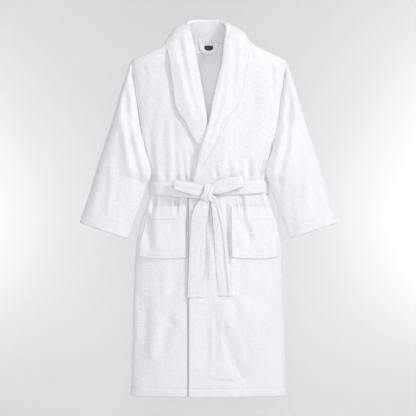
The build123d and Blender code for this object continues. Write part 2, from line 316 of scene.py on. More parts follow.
def rumple(x, z, seed=0):
    """Soft unevenness of washed terry."""
    r = sum(high * lattice(x, z, size_x, size_z, RUMPLE_SEED + i + seed)
            for i, (high, size_x, size_z) in enumerate(RUMPLE))
    return r * (0.25 + 0.75 * flat_under_belt(z))


def groove(distance, width=1.5, depth=1.1):
    """A line of stitching pulled into the pile."""
    return -depth * bell(distance, 0, width)


# ---- mesh making
FINE_ROWS = (-4, -2.4, -1.2, 0, 1.2, 2.4, 4)
FINE_REACH = 4.2
EDGE_BULGE = 0.45  # how far an edge rounds out, as a share of the thickness


def rows_between(z_low, z_high, step, fine=()):
    """Heights from low to high, closer together around each line in fine."""
    z = list(np.linspace(z_low, z_high, max(2, int(round((z_high - z_low) / step)) + 1)))
    for line in fine:
        z = [v for v in z if abs(v - line) > FINE_REACH] + [line + d for d in FINE_ROWS]
    return np.array(sorted(v for v in z if z_low - 0.01 <= v <= z_high + 0.01))


def make_object(name, points, faces, material):
    mesh = bpy.data.meshes.new(name)
    mesh.from_pydata((np.asarray(points, float) * MM).tolist(), [], faces)
    mesh.validate()
    work = bmesh.new()
    work.from_mesh(mesh)
    bmesh.ops.recalc_face_normals(work, faces=work.faces)
    work.to_mesh(mesh)
    work.free()
    mesh.polygons.foreach_set("use_smooth", [True] * len(mesh.polygons))
    obj = bpy.data.objects.new(name, mesh)
    bpy.context.collection.objects.link(obj)
    mesh.materials.append(material)
    return obj


def grid_normals(p, wrap=False):
    """Unit normals of a grid, rows by columns; wrap joins its last column to its first."""
    down = np.gradient(p, axis=0)
    across = np.roll(p, -1, 1) - np.roll(p, 1, 1) if wrap else np.gradient(p, axis=1)
    return unit(np.cross(down, across))


def shell(name, outer, thickness, material, wrap=False, flip=False):
    """Closed cloth of real thickness from a grid of outer points, with softly rounded edges."""
    rows, cols = outer.shape[:2]
    n = grid_normals(outer, wrap)
    inner = outer - (-n if flip else n) * thickness
    outer, inner = outer.reshape(-1, 3), inner.reshape(-1, 3)
    count = rows * cols
    points, faces = [outer, inner], []
    for r in range(rows - 1):
        for c in range(cols if wrap else cols - 1):
            a, b = r * cols + c, r * cols + (c + 1) % cols
            quad = (a, a + cols, b + cols, b)
            faces.append(quad)
            faces.append(tuple(count + i for i in reversed(quad)))
    # rim: a loop of points half way through the thickness, pushed away from the cloth
    if wrap:
        rims = [[(0, c) for c in range(cols)], [(rows - 1, c) for c in reversed(range(cols))]]
        first, last = 0, cols - 1
    else:
        rims = [[(0, c) for c in range(cols)] + [(r, cols - 1) for r in range(1, rows)]
                + [(rows - 1, c) for c in range(cols - 2, -1, -1)]
                + [(r, 0) for r in range(rows - 2, 0, -1)]]
        first, last = 1, cols - 2
    base = 2 * count
    for rim in rims:
        loop = [r * cols + c for r, c in rim]
        near = [min(max(r, 1), rows - 2) * cols + min(max(c, first), last) for r, c in rim]
        gap = np.linalg.norm(outer[loop] - inner[loop], axis=1, keepdims=True)
        away = unit(outer[loop] - outer[near])
        points.append((outer[loop] + inner[loop]) / 2 + away * gap * EDGE_BULGE)
        for i, a in enumerate(loop):
            j = (i + 1) % len(loop)
            b, q, s = loop[j], base + i, base + j
            faces.append((b, a, q, s))
            faces.append((s, q, count + a, count + b))
        base += len(loop)
    return make_object(name, np.concatenate(points), faces, material)


def panel(rows, marks, counts, sign, lift):
    """Grid of outer points on the front (sign -1) or back (+1); marks is a function of height."""
    grid = []
    for z in rows:
        px, py, nx, ny = section(z, marks(z), counts, sign)
        z = np.full(len(px), z)
        high = lift(px, z) * ramp(np.abs(py), 0.0, SEAM_FADE)
        grid.append(np.stack([px + nx * high, py + ny * high, z], axis=1))
    return np.array(grid)


def by_knots(knots):
    """Function of height through (z, value) knots."""
    knots = sorted(knots)
    z, v = [k[0] for k in knots], [k[1] for k in knots]
    return lambda height: np.interp(height, z, v)


# ---- materials
class Nodes:
    """A new material's nodes; their inputs are plain values or outputs of other nodes."""

    def __init__(self, name):
        self.material = bpy.data.materials.new(name)
        self.material.use_nodes = True
        self.tree = self.material.node_tree
        self.surface = self.tree.nodes["Principled BSDF"]

    def fill(self, node, inputs):
        for key, value in inputs.items():
            if isinstance(value, bpy.types.NodeSocket):
                self.tree.links.new(value, node.inputs[key])
            else:
                node.inputs[key].default_value = value

    def add(self, kind, inputs):
        node = self.tree.nodes.new("ShaderNode" + kind)
        self.fill(node, inputs)
        return node

    def mapped(self, scale):
        place = self.add("TexCoord", {}).outputs["Object"]
        return self.add("Mapping", {"Vector": place, "Scale": scale}).outputs["Vector"]

    def noise(self, stretch, scale, detail, rough):
        inputs = {"Vector": self.mapped(stretch), "Scale": scale, "Detail": detail,
                  "Roughness": rough}
        return self.add("TexNoise", inputs).outputs["Fac"]

    def combine(self, operation, a, b):
        node = self.add("Math", {0: a, 1: b})
        node.operation = operation
        return node.outputs[0]

    def colours(self, factor, low, high, start=0.0, end=1.0):
        node = self.add("ValToRGB", {"Fac": factor})
        for element, place, colour in zip(node.color_ramp.elements, (start, end), (low, high)):
            element.position = place
            element.color = (*colour, 1)
        return node.outputs["Color"]

    def bumped(self, height, strength, distance):
        inputs = {"Height": height, "Strength": strength, "Distance": distance}
        return self.add("Bump", inputs).outputs["Normal"]


PER_METRE = 1000.0  # texture scales count per metre, the sizes here are in millimetres
LOOP_MM, CLUMP_MM = 1.8, 9.0
PATCHES_PER_METRE = 14.0
COURSE_STRETCH = (0.22, 0.22, 1.0)  # courses of loops are thin in height and long across
# colour that the hollows between the pile's loops are multiplied towards: painted shade
SHADE_BETWEEN_LOOPS = (0.45, 0.45, 0.5, 1)


def terry(name, colour, rib_mm=5.5, strength=0.68):
    """Looped cotton pile: small loops in slightly uneven courses, with a soft sheen."""
    n = Nodes(name)
    courses = n.noise(COURSE_STRETCH, PER_METRE / rib_mm, 2.0, 0.55)
    clumps = n.noise((0.7, 0.7, 1), PER_METRE / CLUMP_MM, 3.0, 0.6)
    patches = n.noise((1, 1, 0.6), PATCHES_PER_METRE, 2.0, 0.5)
    loops = n.add("TexVoronoi", {"Vector": n.mapped((1, 1, 1)), "Scale": PER_METRE / LOOP_MM,
                                 "Randomness": 0.85}).outputs["Distance"]
    height = n.combine("MULTIPLY", courses, 0.9)
    height = n.combine("SUBTRACT", height, n.combine("MULTIPLY", loops, 0.45))
    height = n.combine("ADD", height, clumps)
    # colour: faint large patches at random, and painted shade in the hollows between the loops
    base = n.colours(patches, [c * 0.97 for c in colour], colour, 0.3, 0.7)
    loop_shade = n.add("MixRGB", {"Fac": n.combine("MULTIPLY", loops, 0.22), "Color1": base,
                            "Color2": SHADE_BETWEEN_LOOPS})
    loop_shade.blend_type = "MULTIPLY"
    n.fill(n.surface, {
        "Base Color": loop_shade.outputs["Color"],
        "Roughness": n.combine("ADD", n.combine("MULTIPLY", clumps, 0.12), 0.86),
        "Normal": n.bumped(height, strength, 0.0026),
        "Sheen Weight": 0.25, "Sheen Roughness": 0.5, "Specular IOR Level": 0.15,
    })
    return n.material


def woven(name, colour, thread_mm=0.5):
    """Flat woven cotton tape or sewing thread."""
    n = Nodes(name)
    waves = []
    for direction in ("X", "Z"):
        wave = n.add("TexWave", {"Vector": n.add("TexCoord", {}).outputs["Object"],
                                 "Scale": PER_METRE / thread_mm / 20.0, "Distortion": 1.5})
        wave.bands_direction = direction
        waves.append(wave.outputs["Fac"])
    crossed = n.combine("MULTIPLY", *waves)
    n.fill(n.surface, {
        "Base Color": n.colours(crossed, [c * 0.8 for c in colour], colour),
        "Roughness": 0.8, "Sheen Weight": 0.15, "Normal": n.bumped(crossed, 0.4, 0.0004),
    })
    return n.material


WHITE = (0.895, 0.876, 0.908)
BODY_TERRY = terry("terry_body", WHITE)
COLLAR_TERRY = terry("terry_collar", WHITE, rib_mm=5.0)
BELT_TERRY = terry("terry_belt", WHITE, rib_mm=4.5, strength=0.8)
# a hair lighter than WHITE: painted light on the inner layers (hem turns, facing, cuff turns),
# which lie in shade
LIGHT_INSIDE_TERRY = terry("terry_inside", (0.90, 0.88, 0.912), rib_mm=5.0)
THREAD = woven("sewing_thread", (0.86, 0.86, 0.9), 0.3)
# whiter woven tape for the hanging loop and the neck tape, partly its own colour and partly
# painted light that lifts tape lying in shade inside the neck
WHITE_TAPE_LIGHTENED = woven("loop_cloth", (0.95, 0.935, 0.96))
LABEL_CLOTH = woven("label_cloth", (0.045, 0.045, 0.055))


# ---- keeping track of pieces
def piece(obj, body, replaced=(), blend=None):
    """Every piece rides on a body, or, given blend points, has its transform baked in place
    instead.
    """
    if blend:
        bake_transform(obj)
    else:
        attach(obj, body)
    if replaced:
        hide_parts(*replaced)


CORNER_ALONG = unit(np.array([CORNER_END[0] - CORNER_TOP[0], CORNER_END[1] - CORNER_TOP[1]]))
CORNER_OUT = np.array([CORNER_ALONG[1], -CORNER_ALONG[0]])  # towards the hem corner
CORNER_MID = (np.array(CORNER_TOP) + np.array(CORNER_END)) / 2
CORNER_SOFT = 26.0
ARMHOLE_X, ARMHOLE_Z = 256.0, -45.0
SLEEVE_X, SLEEVE_Z = 0.9795, -0.2015  # direction from the shoulder point down the sleeve
SLEEVE_SOFT = (6, 128)  # two distances down the sleeve, from the shoulder point, where the blend points stand


def corner_point(distance):
    x, z = CORNER_MID + CORNER_OUT * distance
    return (x * MM, -58 * MM, z * MM)


CORNER_BLEND = (corner_point(-CORNER_SOFT), corner_point(CORNER_SOFT))


def sleeve_blend(side):
    """From the armhole line to the middle of the sleeve."""
    return [(side * (ARMHOLE_X + far * SLEEVE_X) * MM, 0, (ARMHOLE_Z + far * SLEEVE_Z) * MM)
            for far in SLEEVE_SOFT]


# ---- stitching
STITCH_LENGTH, STITCH_GAP, STITCH_RADIUS = 3.0, 1.1, 0.42
STITCH_RINGS = [(0.0, 0.55, -0.35), (0.5, 1.0, 0.25), (1.0, 0.55, -0.35)]  # share, size, height
STITCH_SIDES = 5


def stitches(name, line, outward, lift=0.1):
    """Row of separate thread stitches along a line of points on a surface."""
    run = run_along(line)

    def at(values, place):
        return np.array([np.interp(place, run, values[:, k]) for k in range(3)])

    points, faces = [], []
    for s in np.arange(0.5, run[-1] - STITCH_LENGTH, STITCH_LENGTH + STITCH_GAP):
        a, b = at(line, s), at(line, s + STITCH_LENGTH)
        n = unit(at(outward, s + STITCH_LENGTH / 2))
        side = np.cross(unit(b - a), n)
        base = len(points)
        for share, size, high in STITCH_RINGS:
            centre = a + (b - a) * share + n * (lift + high)
            for k in range(STITCH_SIDES):
                angle = 2 * math.pi * k / STITCH_SIDES
                arm = side * math.cos(angle) + n * math.sin(angle)
                points.append(centre + arm * STITCH_RADIUS * size)
        for ring in range(2):
            for k in range(STITCH_SIDES):
                i = base + ring * STITCH_SIDES + k
                j = base + ring * STITCH_SIDES + (k + 1) % STITCH_SIDES
                faces.append((i, j, j + STITCH_SIDES, i + STITCH_SIDES))
        faces.append(tuple(base + k for k in reversed(range(STITCH_SIDES))))
        faces.append(tuple(base + 2 * STITCH_SIDES + k for k in range(STITCH_SIDES)))
    return make_object(name, points, faces, THREAD)


def trace(grid, path_x, path_z, flip=False):
    """Points of a front or back grid nearest to a path in x and z, and the normals there."""
    flat, flat_n = grid.reshape(-1, 3), grid_normals(grid).reshape(-1, 3)
    line, outward = [], []
    for x, z in zip(path_x, path_z):
        d = (flat[:, 0] - x) ** 2 + (flat[:, 2] - z) ** 2
        near = np.argpartition(d, 3)[:3]
        weight = 1.0 / (d[near] + 0.05)
        line.append([x, (flat[near, 1] * weight).sum() / weight.sum(), z])
        outward.append(flat_n[near].mean(axis=0) * (-1 if flip else 1))
    return np.array(line), np.array(outward)


# ---- body of the robe
OVERLAP_LIFT = 7.5  # how far the upper front stands over the lower one
HEM_STITCH = HEM_Z + 25.0
FACING_X, FACING_TOP = 24.0, -500.0
SIDE = 0.99999  # a panel stops just short of the side seam
ROW_STEP = 4.3
SHOULDER_ROWS = (-61.0, 19.0, 34)
ROWS = np.concatenate([rows_between(HEM_Z, -64.0, ROW_STEP, (HEM_STITCH,)),
                       np.linspace(*SHOULDER_ROWS)])
BACK_TOP = 14.5
LEFT_INNER = by_knots([
    (20, 121), (-110, 103), (-205, 84), (-290, 38), (-345, 2), (-400, -28), (-432, -46),
    (-500, OVERLAP_X), (HEM_Z, OVERLAP_X),
])
RIGHT_INNER = by_knots([
    (12, -118), (-110, -100), (-205, -82), (-260, -60), (-300, -30), (-350, 20), (-420, 60),
    (HEM_Z, 60),
])
# outer edges of the lapels (x, z)
RIGHT_EDGE = [(-28, -334), (-54, -292), (-77, -246), (-99, -214), (-116, -126), (-130, -29),
              (-142, 15)]
LEFT_EDGE = [(-50, -440), (-17, -386), (10, -345), (30, -294), (48, -249), (80, -212),
             (101, -175), (114, -110), (124, -52), (139, 10)]
# columns from the left front's side seam to the facing's stitching, over it, and to the edge
LEFT_COUNTS = (62, 7, 24)
# columns of the right front; below the belt the second group is dense beside the left's edge
RIGHT_COUNTS = (34, 22, 46)
RIGHT_EVEN = (34, 56)
DENSE = (-53, -82)
BACK_COUNTS = (140,)


def under_collar(x, z):
    """1 where a lapel lies over the fronts."""
    right = ramp(-along(x, z, RIGHT_EDGE)[0], -4, 8) * ramp(z, -350, -325) * (x < 20)
    left = ramp(along(x, z, LEFT_EDGE)[0], -4, 8)
    return np.maximum(right, left)


def front_field(x, z):
    covered = 0.75 * under_collar(x, z) * ramp(z, -440, -400)
    return (front_folds(x, z) + rumple(x, z)) * (1 - covered)


def hem_relief(z):
    """The line of hem stitching, and the double cloth below it."""
    return groove(z - HEM_STITCH) + 0.8 * ramp(z, HEM_STITCH, HEM_STITCH - 4)


def left_offset(x, z):
    return OVERLAP_LIFT * ramp(x, 130, 40) * ramp(z, -60, -240)


def left_lift(x, z):
    edge = -1.0 * ramp(x, -40, -60) * ramp(z, -800, -860)
    facing_line = groove(x - FACING_X, 1.5, 0.35) * ramp(z, FACING_TOP, FACING_TOP - 60)
    return left_offset(x, z) + front_field(x, z) + edge + facing_line + hem_relief(z)


def right_lift(x, z):
    """The right front sinks in beside the left one's edge, in a narrow and a wide valley."""
    sunk = -1.0 * ramp(x, -70, -58)
    narrow = -7.0 * bell(x, -64.5, 2.4) * ramp(z, -470, -510)
    wide = -3.0 * bell(x, -70, 5.0) * ramp(z, -480, -520) * ramp(z, -860, -790)
    return front_field(x, z) + sunk + narrow + wide + hem_relief(z)


def back_lift(x, z):
    return back_folds(x, z) + rumple(x, z, 7) + hem_relief(z)


def left_marks(z):
    inner = LEFT_INNER(z)
    fold_x = max(FACING_X, inner + 14.0)
    return half_width(z) * SIDE, fold_x + 4, fold_x - 4, inner


def right_marks(z):
    """Even columns above; closer together beside the other front's edge below."""
    inner, outer = RIGHT_INNER(z), -half_width(z) * SIDE
    low = ramp(z, -380, -470)
    even = [inner + (outer - inner) * n / sum(RIGHT_COUNTS) for n in RIGHT_EVEN]
    marks = [x * (1 - low) + dense * low for x, dense in zip(even, DENSE)]
    return inner, *marks, outer


def back_marks(z):
    return half_width(z) * SIDE, -half_width(z) * SIDE


left_grid = panel(ROWS, left_marks, LEFT_COUNTS, -1, left_lift)
right_grid = panel(ROWS, right_marks, RIGHT_COUNTS, -1, right_lift)
back_grid = panel(ROWS[ROWS < BACK_TOP], back_marks, BACK_COUNTS, 1, back_lift)

piece(shell("left_front_cloth", left_grid, CLOTH_T, BODY_TERRY), "front_corner",
      ("left_front", "left_front_corner"), CORNER_BLEND)
piece(shell("right_front_cloth", right_grid, CLOTH_T, BODY_TERRY), "robe",
      ("right_front", "right_front_underlap"))
piece(shell("back_cloth", back_grid, CLOTH_T, BODY_TERRY, flip=True), "robe",
      ("back_panel",))

# turned hems and the facing, lying against the inside of the panels
HEM_ROWS = np.linspace(HEM_Z + 1.5, HEM_STITCH - 0.8, 7)
FACING_ROWS = rows_between(HEM_STITCH + 2, FACING_TOP, ROW_STEP)
INSIDE = CLOTH_T + 0.25
TURN_T, FACING_T = 2.2, 1.8
SIDE_GAP = 3.0


def lining(name, rows, marks, counts, sign, lift, thickness=TURN_T):
    """A second layer of cloth inside a panel, kept a little in from the side seams."""
    def inset(z):
        limit = half_width(z) - SIDE_GAP
        return [min(max(v, -limit), limit) for v in marks(z)]

    grid = panel(rows, inset, counts, sign, lambda x, z: lift(x, z) - INSIDE)
    return shell(name, grid, thickness, LIGHT_INSIDE_TERRY, flip=sign > 0)


piece(lining("left_front_hem_turn", HEM_ROWS, left_marks, LEFT_COUNTS, -1, left_lift),
      "front_corner", ("left_front_hem", "left_front_corner_hem"), CORNER_BLEND)
piece(lining("right_front_hem_turn", HEM_ROWS, lambda z: (RIGHT_INNER(z) - 2, -half_width(z)),
             (90,), -1, right_lift),
      "robe", ("right_front_hem",))
piece(lining("back_hem_turn", HEM_ROWS, lambda z: (half_width(z), -half_width(z)), BACK_COUNTS, 1,
             back_lift),
      "robe", ("back_hem",))
piece(lining("left_front_facing_strip", FACING_ROWS, lambda z: (FACING_X, OVERLAP_X + 2.5), (24,),
             -1, left_lift, FACING_T),
      "front_corner", ("left_front_facing",), CORNER_BLEND)

# name, grid, x at the start and the end, number of points, body, blend
HEM_LINES = [
    ("left_front_hem_stitching", left_grid, 246, -58, 90, "front_corner", CORNER_BLEND),
    ("right_front_hem_stitching", right_grid, -66, -248, 60, "robe", None),
    ("back_hem_stitching", back_grid, 248, -248, 130, "robe", None),
]
for name, grid, x0, x1, count, body, blend in HEM_LINES:
    line = trace(grid, np.linspace(x0, x1, count), np.full(count, HEM_STITCH), grid is back_grid)
    piece(stitches(name, *line), body, (), blend)
rise = np.linspace(HEM_STITCH + 2, FACING_TOP, 120)
line = trace(left_grid, np.full(len(rise), FACING_X), rise)
piece(stitches("left_front_facing_stitching", *line), "front_corner", (), CORNER_BLEND)


# ---- shawl collar
def smooth_rows(values, places, at):
    """Cubic through rows of numbers given at places."""
    values, places = np.asarray(values, float), np.asarray(places, float)
    slope = np.gradient(values, places, axis=0)
    i = np.clip(np.searchsorted(places, at, side="right") - 1, 0, len(places) - 2)
    h = (places[i + 1] - places[i])[:, None]
    t = ((at - places[i])[:, None]) / h
    a, b, ma, mb = values[i], values[i + 1], slope[i] * h, slope[i + 1] * h
    ends = a * (2 * t**3 - 3 * t**2 + 1) + b * (3 * t**2 - 2 * t**3)
    return ends + ma * (t**3 - 2 * t**2 + t) + mb * (t**3 - t**2)


COLLAR_T = 4.2
COLLAR_STEP = 4.0
OUTER_POINTS, ROLL_POINTS, INNER_POINTS = 27, 10, 20
LEAST_ROLL = 2.6


def lapel(edge, roll, edge_up, roll_up, inner, radius=4.8, bulge=3.0, offset=0.0, turn=1):
    """One station of a lapel: outer edge, roll, seam, outward direction, roll radius, bulge."""
    (ex, ez), (rx, rz) = edge, roll
    nz = ez + 4
    nx = inner(nz) + 1.5 * turn
    return [ex, front_y(ex, ez) - edge_up - offset, ez, rx, front_y(rx, rz) - roll_up, rz,
            nx, front_y(nx, nz) + CLOTH_T - offset, nz, 0.0, -1.0, 0.0, radius, bulge]


def left_lapel(edge, roll, edge_up, roll_up, radius, bulge, offset):
    return lapel(edge, roll, edge_up, roll_up, LEFT_INNER, radius, bulge, offset, -1)


def neck(edge, roll, seam, out, radius=6.0, bulge=4.0):
    return [*edge, *roll, *seam, *unit(np.array(out)), radius, bulge]


# stations from the right lapel's lower end round the neck to the left one's
STATIONS = [
    lapel((-22, -345), (14, -292), 4.5, 8, RIGHT_INNER, 3.4, 1),
    lapel((-28, -334), (8, -278), 5, 9, RIGHT_INNER, 4.2, 1),
    lapel((-54, -292), (-2, -254), 5.5, 10, RIGHT_INNER, 4.8, 2),
    lapel((-77, -246), (-6, -225), 7.5, 10.5, RIGHT_INNER),
    lapel((-99, -214), (-12, -185), 8.5, 10.5, RIGHT_INNER),
    lapel((-116, -126), (-23, -125), 8.5, 10.5, RIGHT_INNER, 5, 4),
    lapel((-130, -29), (-38, -40), 8, 9, RIGHT_INNER, 5.5, 5),
    neck((-142, -16, 9), (-48, -31, 12), (-119, -20, 10), (-0.1, -0.9, 0.4), 6, 8),
    neck((-143, 8, 14), (-62, -17, 57), (-130, 2, 12), (-0.55, -0.35, 0.75), 6.5, 17),
    neck((-132, 30, 6), (-71, 2, 85), (-116, 24, 13), (-0.8, 0.1, 0.6), 7, 19),
    neck((-112, 42, -6), (-52, 23, 94), (-90, 32, 14), (-0.5, 0.75, 0.45), 7.5, 10),
    neck((-60, 48, -14), (-24, 30, 95), (-45, 35.5, 14), (-0.05, 0.97, 0.2), 8, 3),
    neck((0, 50, -14), (-1, 33, 94), (0, 36.5, 14), (0, 0.98, 0.2), 8, 3),
    neck((60, 48, -14), (20, 30, 94.5), (45, 35.5, 14), (0.05, 0.97, 0.2), 8, 3),
    neck((112, 42, -6), (42, 23, 93), (90, 32, 14), (0.5, 0.75, 0.45), 7.5, 10),
    neck((131, 30, 5), (58, 3, 82), (116, 24, 13), (0.75, 0.1, 0.65), 7, 17),
    neck((140, 8, 11), (58, -15, 55), (130, 2, 12), (0.5, -0.4, 0.75), 6.5, 15),
    neck((138, -16, 8), (50, -29, 22), (119, -20, 10), (0.1, -0.9, 0.4), 6, 7),
    left_lapel((124, -52), (40, -58), 6, 9, 5.5, 5, 0),
    left_lapel((114, -110), (28, -105), 5.5, 10, 5, 4, 0.5),
    left_lapel((101, -175), (14, -168), 5.5, 11.5, 4.8, 4, 1.5),
    left_lapel((80, -212), (5, -222), 6, 16, 4.8, 3, 3.5),
    left_lapel((48, -249), (-6, -268), 6, 19, 4.8, 2, 6),
    left_lapel((30, -294), (-20, -312), 6, 19, 4.8, 2, 7),
    left_lapel((10, -345), (-32, -350), 6, 18, 4.6, 2, 7.5),
    left_lapel((-17, -386), (-40, -392), 5, 15, 4.2, 1, 7.5),
    left_lapel((-34, -420), (-49, -432), 3.5, 11.5, 3.2, 0.5, 7.5),
    left_lapel((-42, -446), (-56, -456), 1.5, 8.5, 2.8, 0, 7.5),
]
COLLAR_FOLDS = [
    ([(-98, 70), (-94, 0), (-76, -80), (-56, -160), (-36, -240)], 11, 2.6, (40, 60)),
    ([(-58, 40), (-54, -40), (-42, -130), (-26, -210)], 9, 1.6, (60, 60)),
    ([(76, 60), (84, -20), (78, -110), (60, -190)], 12, 2.2, (60, 60)),
    ([(58, -60), (48, -150), (28, -220), (4, -290), (-14, -350)], 9, 1.8, (60, 60)),
    ([(94, -150), (76, -200), (46, -240)], 8, 1.4, (40, 40)),
]


def collar_row(row, place):
    """One station: over the lapel from edge to roll, round the roll and back to the seam."""
    edge, roll, seam, out = row[0:3], row[3:6], row[6:9], unit(row[9:12])
    radius, bulge = max(row[12], LEAST_ROLL), row[13]
    ahead = roll - edge
    ahead = unit(ahead - out * (ahead @ out))
    start = roll - ahead * radius
    facing_front = np.clip(-out[1], 0, 1) ** 2
    t = np.linspace(0, 1, OUTER_POINTS)
    arch = np.sin(math.pi * t)
    outer = edge + (start - edge) * t[:, None] + out * bulge * (arch**0.8)[:, None]
    x, z = outer[:, 0], outer[:, 2]
    field = 1.4 * sum_of(fold, x, z, COLLAR_FOLDS) + 0.9 * rumple(x, z, 20)
    loose = 1.6 * lattice(np.full(OUTER_POINTS, place), t * 90, 30, 26, 55)
    lift = field * facing_front * arch**0.4 + loose * (1 - facing_front)
    outer = outer + out * lift[:, None]
    centre = start - out * radius
    turn = np.linspace(0, math.pi, ROLL_POINTS)[1:-1, None]
    rolled = centre + radius * (out * np.cos(turn) + ahead * np.sin(turn))
    below = centre - out * radius
    t = np.linspace(0, 1, INNER_POINTS)
    crease = 1.8 * (1 - facing_front) * lattice(np.full(INNER_POINTS, place), t * 70, 17, 60, 77)
    sunk = crease * np.sin(math.pi * t) ** 0.5
    inside = below + (seam - below) * t[:, None] - out * sunk[:, None]
    return np.concatenate([outer, rolled, inside])


def collar_grid():
    stations = np.array(STATIONS)
    places = run_along((stations[:, 0:3] + stations[:, 3:6]) / 2)
    at = np.linspace(0, places[-1], int(places[-1] / COLLAR_STEP))
    rows = smooth_rows(stations, places, at)
    return np.array([collar_row(row, place) for row, place in zip(rows, at)])


piece(shell("shawl_collar", collar_grid(), COLLAR_T, COLLAR_TERRY, flip=True), "robe",
      ("left_lapel", "right_lapel", "collar_back"))


# ---- sleeves
# outer and inner edge of the wearer's left sleeve (x, z), and its half depth
SLEEVE = [
    ((246, -62), (242, -80), 7.0),
    ((253, -54), (247, -88), 12.0),
    ((263, -76), (244, -112), 18.0),
    ((275, -108), (238, -150), 24.0),
    ((298, -185), (225, -245), 30.0),
    ((324, -270), (208, -340), 34.0),
    ((347, -340), (189, -410), 36.0),
    ((365, -397), (202, -450), 37.0),
    ((388, -474), (226, -515), 35.0),
    ((404, -523), (246, -567), 33.0),
    ((420, -571), (266, -622), 31.0),
]
SLEEVE_TABLE = np.array([[*p, *q, h] for p, q, h in SLEEVE])
SLEEVE_PLACES = run_along(SLEEVE_TABLE[:, :2])
SLEEVE_END = SLEEVE_PLACES[-1]
CUFF_STITCH = SLEEVE_END - 30.0
SLEEVE_ROWS = rows_between(0, SLEEVE_END, 4.2, (CUFF_STITCH,))
CUFF_ROWS = np.linspace(CUFF_STITCH + 1, SLEEVE_END - 1.5, 8)
SLEEVE_COLS, WALL_COLS = 44, 8
FREE_HALF = 6.0  # half depth of the inner edge where it hangs free of the body
CREST = 0.6  # where the sleeve is deepest, from its inner to its outer edge


def sleeve_folds(x, z, side):
    lean = 0 if side > 0 else 6
    return sum_of(fold, x, z, [
        ([(262 + lean, -120), (262 + lean, -210), (250, -320), (226, -420), (232, -480)],
         12, 7.0, (60, 60)),
        ([(286, -200), (296 - lean, -320), (292, -450), (300, -560)], 15, 2.2, (80, 60)),
        ([(262, -400), (262 + lean, -500), (274, -600)], 11, 3.0, (80, 0)),
        ([(330, -360), (342 - lean, -460), (352, -560)], 14, 2.6, (80, 40)),
        ([(222, -300), (238, -250), (262, -210)], 8, 2.4, (30, 40)),
    ])


def sleeve_row(place, side):
    """One loop round the sleeve: along the front, back behind it and up its inner wall."""
    row = smooth_rows(SLEEVE_TABLE, SLEEVE_PLACES, np.array([place]))[0]
    outer, inner, high = row[0:2], row[2:4], row[4]
    joined = ramp(inner[1], -330, -262)  # 1 where the inner edge is the armhole seam
    body_half = abs(front_y(*inner))
    reach = half_width(inner[1])
    clear = 26.0 * ramp(inner[0], reach + 26, reach - 4)
    behind_body = max(body_half + FREE_HALF + 3.5, clear if inner[0] < reach + 26 else 0)
    half_in = min((body_half + 0.6) * joined + FREE_HALF * (1 - joined), high * 0.9)
    centre_in = -(1 - joined) * behind_body
    t = 0.5 - 0.5 * np.cos(np.linspace(0, math.pi, SLEEVE_COLS))
    near = np.sin(math.pi / 2 * np.clip(t / CREST, 0, 1)) ** 0.95
    far = high * np.sqrt(np.clip(1 - ((t - CREST) / (1 - CREST)) ** 2, 0, 1))
    half = np.where(t < CREST, half_in + (high - half_in) * near, far)
    centre = centre_in * (1 - smooth(t / 0.75))
    x, z = inner[0] + (outer[0] - inner[0]) * t, inner[1] + (outer[1] - inner[1]) * t
    seam = groove(place - CUFF_STITCH, 1.6, 0.7)
    front_bumps = sleeve_folds(x, z, side) + rumple(x * side, z, 30)
    back_bumps = 0.7 * sleeve_folds(x + 14, z + 20, -side) + rumple(x * side, z, 40)
    even = np.sin(math.pi * t) ** 0.35 * ramp(place, 20, 90)
    front = centre - half - front_bumps * even - seam
    behind = centre + half + back_bumps * even + seam
    wall = np.linspace(0, math.pi, WALL_COLS)[1:-1]
    wall_x = inner[0] - min(half_in, 5.0) * 0.8 * np.sin(wall) * (1 - joined)
    wall_y = centre_in + half_in * np.cos(wall)
    loop = np.concatenate([
        np.stack([x, front, z], axis=1),
        np.stack([x, behind, z], axis=1)[::-1][1:],
        np.stack([wall_x, wall_y, np.full(len(wall), inner[1])], axis=1),
    ])
    return loop * [side, 1, 1]


def sleeve_grid(side, rows):
    return np.array([sleeve_row(place, side) for place in rows])


def sleeve_normals(grid, side):
    return grid_normals(grid, wrap=True) * side


for side, word in ((1, "left"), (-1, "right")):
    body, blend, flip = word + "_sleeve", sleeve_blend(side), side < 0
    grid = sleeve_grid(side, SLEEVE_ROWS)
    piece(shell(word + "_sleeve_cloth", grid, CLOTH_T, BODY_TERRY, True, flip), body,
          (word + "_sleeve",), blend)
    turned = sleeve_grid(side, CUFF_ROWS)
    turned = turned - sleeve_normals(turned, side) * INSIDE
    piece(shell(word + "_cuff_turn", turned, TURN_T, LIGHT_INSIDE_TERRY, True, flip), body,
          (word + "_cuff_hem",), blend)
    row = int(np.argmin(np.abs(SLEEVE_ROWS - CUFF_STITCH)))
    around = list(range(grid.shape[1])) + [0]
    line, outward = grid[row][around], sleeve_normals(grid, side)[row][around]
    piece(stitches(word + "_cuff_stitching", line, outward), body, (), blend)


# ---- pockets
POCKET_LOW, POCKET_TOP, POCKET_BAND, POCKET_WIDTH = -684.0, -519.0, 42.0, 150.0
POCKET_T, BAND_T = 4.0, 1.3
POCKET_INNER = by_knots([(-514, 71), (-600, 71), (-684, 72)])
POCKET_OUTER = by_knots([(-514, 192), (-570, 205), (-640, 221), (-684, 224)])
BORDER = [0, 1.2, 2.5, 4, 5.5, 7, 8.6, 10.5]
BORDER_STEP = 4.0
FAR = 60.0


def front_point(x, z, lift):
    """A point standing out from the smooth body by lift."""
    slope = front_y(x + 0.5, z) - front_y(x - 0.5, z)
    length = np.sqrt(1 + slope**2)
    return np.stack([x + slope / length * lift, front_y(x, z) - lift / length, z], axis=-1)


def border_shares(length):
    """Places along a length, close together at both ends."""
    end = BORDER[-1]
    middle = list(np.arange(end + BORDER_STEP, length - end - BORDER_STEP / 2, BORDER_STEP))
    return np.array(BORDER + middle + [length - v for v in reversed(BORDER)]) / length


